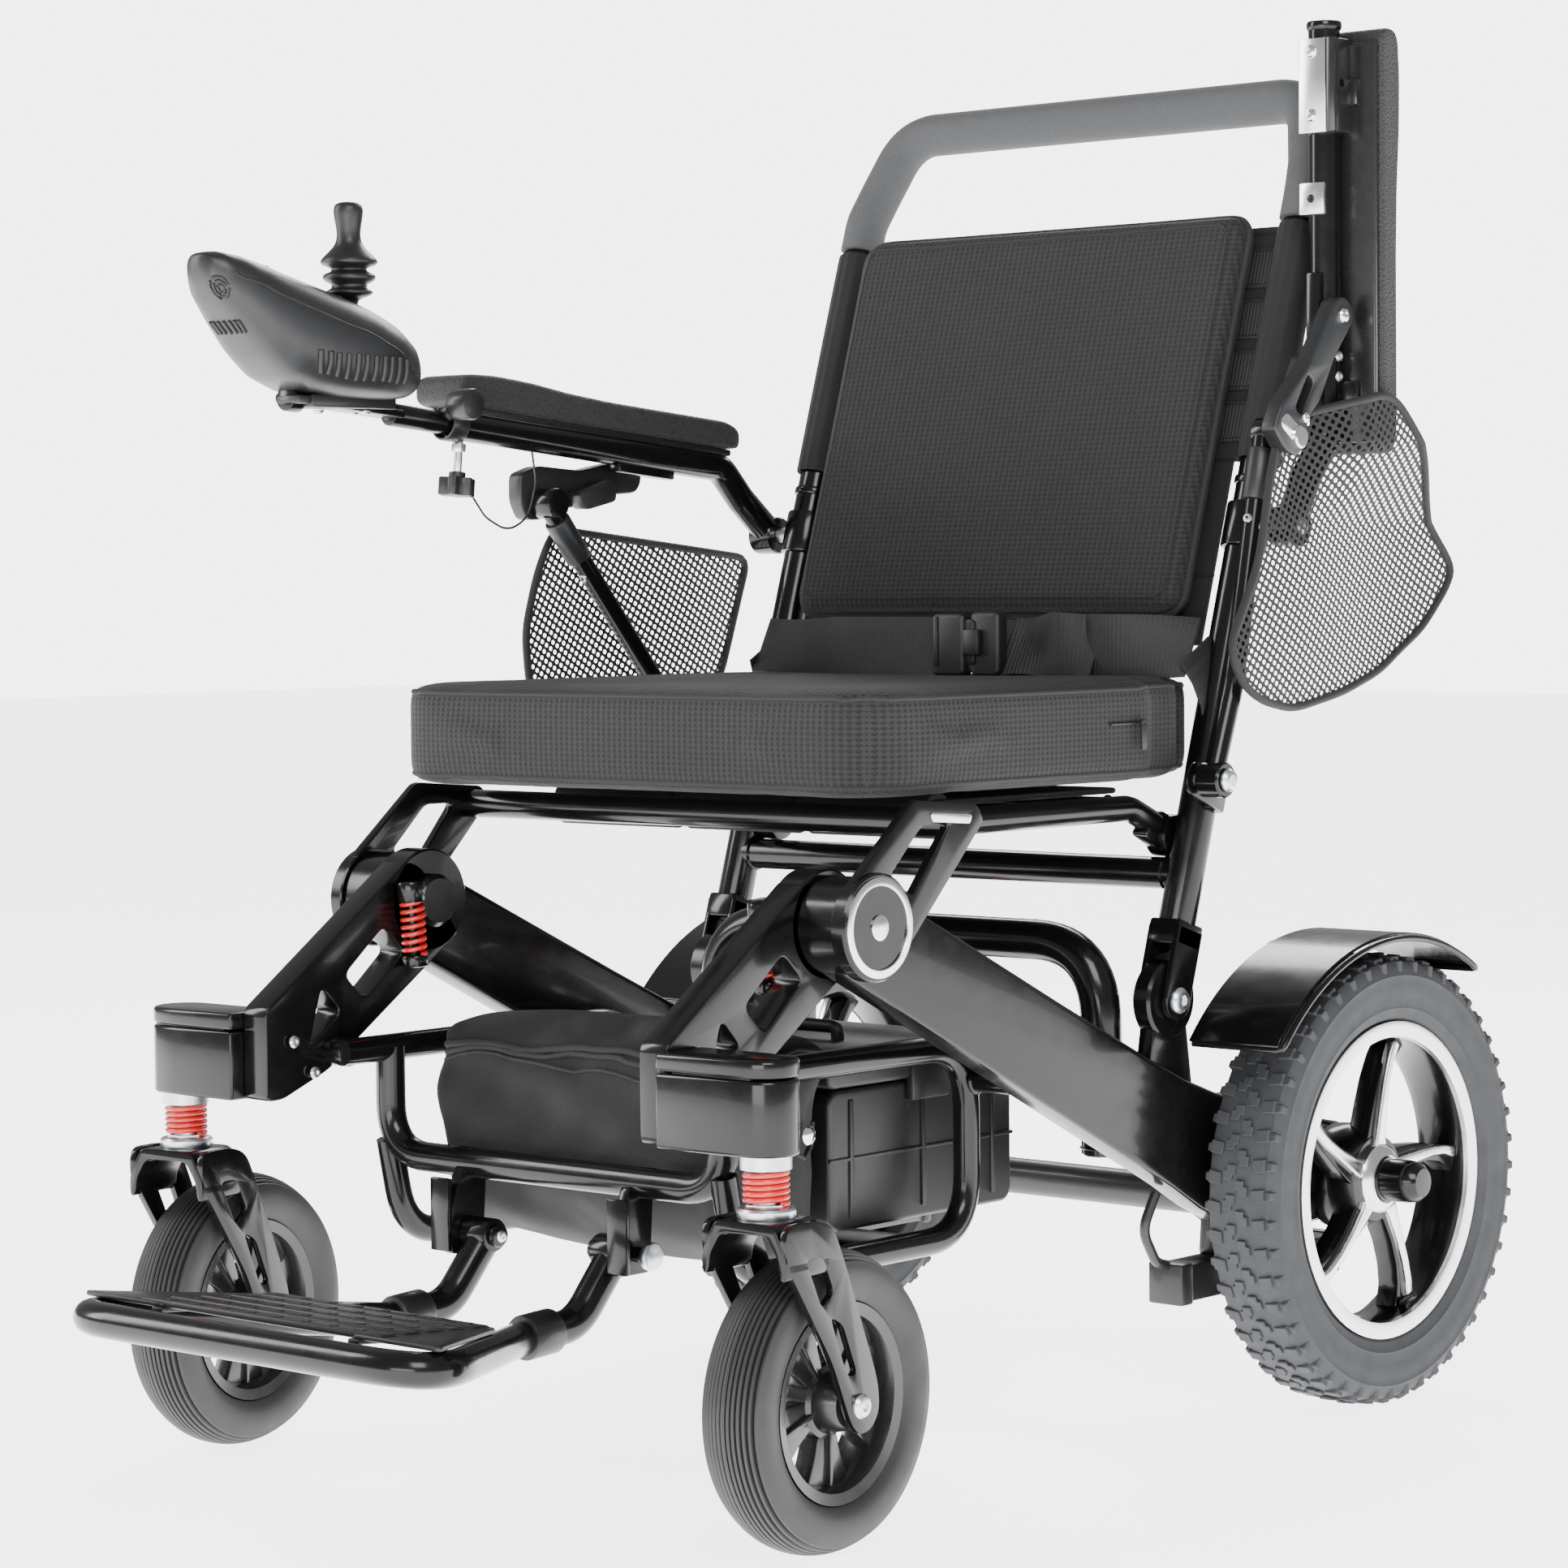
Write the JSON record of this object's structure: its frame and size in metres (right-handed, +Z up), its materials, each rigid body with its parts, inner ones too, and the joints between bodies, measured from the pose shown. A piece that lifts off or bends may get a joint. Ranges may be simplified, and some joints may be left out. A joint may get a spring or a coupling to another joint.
{
  "type": "folding power wheelchair",
  "caption": "Folding power wheelchair with a joystick on one armrest, drive wheels behind, sprung swivel casters in front, a mesh seat and a fold-up footrest.",
  "frame": {"origin": "bottom centre of the whole chair, on the floor", "axes": "+Z up, front of the chair towards -Y, the user's left towards +X"},
  "size_m": [0.602, 1.0019, 0.964],
  "materials": {
    "gloss_paint": "gloss",
    "black_plastic": "satin",
    "tyre_rubber": "matte",
    "rim_alloy": "machined and black",
    "zinc": "satin",
    "red_paint": "gloss",
    "grey_foam": "matte",
    "cloth": "woven",
    "mesh_cloth": "air mesh",
    "grey_plastic": "satin"
  },
  "bodies": {
    "chassis": {"side_tube_left": "gloss_paint", "side_tube_right": "gloss_paint", "drive_motor_left": "black_plastic", "drive_motor_right": "black_plastic", "mudguard_left": "gloss_paint", "mudguard_right": "gloss_paint", "rear_arch": "gloss_paint", "axle_beam": "gloss_paint", "tray_frame": "gloss_paint", "battery_case": "black_plastic", "storage_bag": "cloth"},
    "freewheel_lever_l": {"freewheel_lever_left": "red_paint"},
    "freewheel_lever_r": {"freewheel_lever_right": "red_paint"},
    "rear_wheel_l": {"rear_rim_left": "rim_alloy", "rear_tyre_left": "tyre_rubber"},
    "rear_wheel_r": {"rear_rim_right": "rim_alloy", "rear_tyre_right": "tyre_rubber"},
    "legs": {"front_leg_left": "gloss_paint", "front_leg_right": "gloss_paint", "caster_box_left": "gloss_paint", "caster_box_right": "gloss_paint", "seat_link": "gloss_paint", "caster_spring_left": "red_paint", "caster_spring_right": "red_paint"},
    "stem_l": {"caster_stem_left": "zinc"},
    "stem_r": {"caster_stem_right": "zinc"},
    "fork_l": {"caster_fork_left": "gloss_paint"},
    "fork_r": {"caster_fork_right": "gloss_paint"},
    "caster_wheel_l": {"caster_tyre_left": "tyre_rubber", "caster_hub_left": "black_plastic"},
    "caster_wheel_r": {"caster_tyre_right": "tyre_rubber", "caster_hub_right": "black_plastic"},
    "back": {"back_frame": "gloss_paint", "back_sling": "cloth", "back_pad": "mesh_cloth", "handle_grip": "grey_foam", "lap_belt": "cloth", "belt_buckle": "black_plastic"},
    "seat": {"seat_frame": "gloss_paint", "seat_cushion": "mesh_cloth"},
    "armrest_l": {"armrest_tube_left": "gloss_paint", "armrest_pad_left": "grey_foam"},
    "armrest_r": {"armrest_tube_right": "gloss_paint", "armrest_pad_right": "grey_foam"},
    "bracket_l": {"armrest_bracket_left": "grey_plastic"},
    "bracket_r": {"armrest_bracket_right": "grey_plastic"},
    "strut_l": {"armrest_strut_left": "gloss_paint", "side_guard_left": "mesh_cloth"},
    "strut_r": {"armrest_strut_right": "gloss_paint", "side_guard_right": "mesh_cloth"},
    "controller": {"controller_arm": "gloss_paint", "controller_housing": "grey_plastic"},
    "knob": {"clamp_knob": "black_plastic"},
    "gimbal": {"joystick_gimbal": "zinc"},
    "stick": {"joystick": "black_plastic"},
    "button": {"power_button": "black_plastic"},
    "footrest": {"footrest_frame": "gloss_paint", "footplate": "black_plastic"}
  },
  "joints": [
    {"name": "fold", "type": "hinge", "parent": "chassis", "child": "back", "pos_m": [0, 0.1699, 0.296], "axis": [1, 0, 0], "range_deg": [0, 70], "deforming": ["seat_cushion", "back_pad", "lap_belt", "belt_buckle"]},
    {"name": "leg_fold", "type": "hinge", "parent": "chassis", "child": "legs", "pos_m": [0, -0.1631, 0.369], "axis": [1, 0, 0], "range_deg": [0, 63]},
    {"name": "seat_fold", "type": "hinge", "parent": "back", "child": "seat", "pos_m": [0, 0.2059, 0.405], "axis": [1, 0, 0], "range_deg": [-90, 0]},
    {"name": "rear_wheel_left_spin", "type": "hinge", "parent": "chassis", "child": "rear_wheel_l", "pos_m": [0.251, 0.3419, 0.159], "axis": [1, 0, 0], "continuous": true},
    {"name": "freewheel_left", "type": "hinge", "parent": "chassis", "child": "freewheel_lever_l", "pos_m": [0.09, 0.3239, 0.167], "axis": [1, 0, 0], "range_deg": [-12, 0]},
    {"name": "caster_left_spring", "type": "slide", "parent": "legs", "child": "stem_l", "axis": [0, 0, 1], "range_m": [0, 0.012], "stiffness_N_per_m": 15000, "springref_m": -0.01, "deforming": ["caster_spring_left"]},
    {"name": "caster_left_swivel", "type": "hinge", "parent": "stem_l", "child": "fork_l", "pos_m": [0.259, -0.3031, 0.23], "axis": [0, 0, 1], "continuous": true},
    {"name": "caster_left_spin", "type": "hinge", "parent": "fork_l", "child": "caster_wheel_l", "pos_m": [0.25621, -0.25468, 0.0925], "axis": [0.9983, 0.0576, 0], "continuous": true},
    {"name": "armrest_left_lift", "type": "hinge", "parent": "back", "child": "armrest_l", "pos_m": [0.238, 0.2699, 0.617], "axis": [1, 0, 0], "range_deg": [0, 84.6], "deforming": ["side_guard_left"]},
    {"name": "bracket_left_turn", "type": "hinge", "parent": "armrest_l", "child": "bracket_l", "pos_m": [0.251, 0.2999, 0.762], "axis": [1, 0, 0], "range_deg": [-129.5, 0]},
    {"name": "strut_left_swing", "type": "hinge", "parent": "back", "child": "strut_l", "pos_m": [0.238, 0.1799, 0.446], "axis": [1, 0, 0], "range_deg": [0, 53.5]},
    {"name": "rear_wheel_right_spin", "type": "hinge", "parent": "chassis", "child": "rear_wheel_r", "pos_m": [-0.251, 0.3419, 0.159], "axis": [1, 0, 0], "continuous": true},
    {"name": "freewheel_right", "type": "hinge", "parent": "chassis", "child": "freewheel_lever_r", "pos_m": [-0.09, 0.3239, 0.167], "axis": [1, 0, 0], "range_deg": [-12, 0]},
    {"name": "caster_right_spring", "type": "slide", "parent": "legs", "child": "stem_r", "axis": [0, 0, 1], "range_m": [0, 0.012], "stiffness_N_per_m": 15000, "springref_m": -0.01, "deforming": ["caster_spring_right"]},
    {"name": "caster_right_swivel", "type": "hinge", "parent": "stem_r", "child": "fork_r", "pos_m": [-0.259, -0.3031, 0.23], "axis": [0, 0, 1], "continuous": true},
    {"name": "caster_right_spin", "type": "hinge", "parent": "fork_r", "child": "caster_wheel_r", "pos_m": [-0.26634, -0.25516, 0.0925], "axis": [0.9885, 0.1513, 0], "continuous": true},
    {"name": "armrest_right_lift", "type": "hinge", "parent": "back", "child": "armrest_r", "pos_m": [-0.238, 0.2699, 0.617], "axis": [1, 0, 0], "range_deg": [-84.6, 0], "deforming": ["side_guard_right"]},
    {"name": "bracket_right_turn", "type": "hinge", "parent": "armrest_r", "child": "bracket_r", "pos_m": [-0.251, 0.12837, 0.66051], "axis": [1, 0, 0], "range_deg": [0, 129.5]},
    {"name": "strut_right_swing", "type": "hinge", "parent": "back", "child": "strut_r", "pos_m": [-0.238, 0.1799, 0.446], "axis": [1, 0, 0], "range_deg": [-53.5, 0]},
    {"name": "controller_reach", "type": "slide", "parent": "armrest_r", "child": "controller", "axis": [0, -0.9956, 0.0941], "range_m": [0, 0.03]},
    {"name": "clamp_knob_turn", "type": "hinge", "parent": "armrest_r", "child": "knob", "pos_m": [-0.238, -0.06361, 0.64853], "axis": [0, 0.0941, 0.9956], "continuous": true},
    {"name": "stick_pitch", "type": "hinge", "parent": "controller", "child": "gimbal", "pos_m": [-0.235, -0.1661, 0.752], "axis": [1, 0, 0], "range_deg": [-8, 8], "stiffness_Nm_per_rad": 0.6},
    {"name": "stick_roll", "type": "hinge", "parent": "gimbal", "child": "stick", "pos_m": [-0.235, -0.1661, 0.752], "axis": [0, 1, 0], "range_deg": [-8, 8], "stiffness_Nm_per_rad": 0.6},
    {"name": "power_press", "type": "slide", "parent": "controller", "child": "button", "axis": [0, 0, -1], "range_m": [0, 0.0015], "stiffness_N_per_m": 300, "springref_m": -0.001},
    {"name": "footrest_flip", "type": "hinge", "parent": "chassis", "child": "footrest", "pos_m": [0, -0.2241, 0.159], "axis": [1, 0, 0], "range_deg": [-50, 0]}
  ],
  "couplings": [
    {"joint": "leg_fold", "follows": "fold", "ratio": 0.8943},
    {"joint": "seat_fold", "follows": "fold", "ratio": -1.2699},
    {"joint": "bracket_left_turn", "follows": "armrest_left_lift", "ratio": -1.5213},
    {"joint": "strut_left_swing", "follows": "armrest_left_lift", "ratio": 0.6248},
    {"joint": "bracket_right_turn", "follows": "armrest_right_lift", "ratio": -1.5213},
    {"joint": "strut_right_swing", "follows": "armrest_right_lift", "ratio": 0.6248}
  ]
}
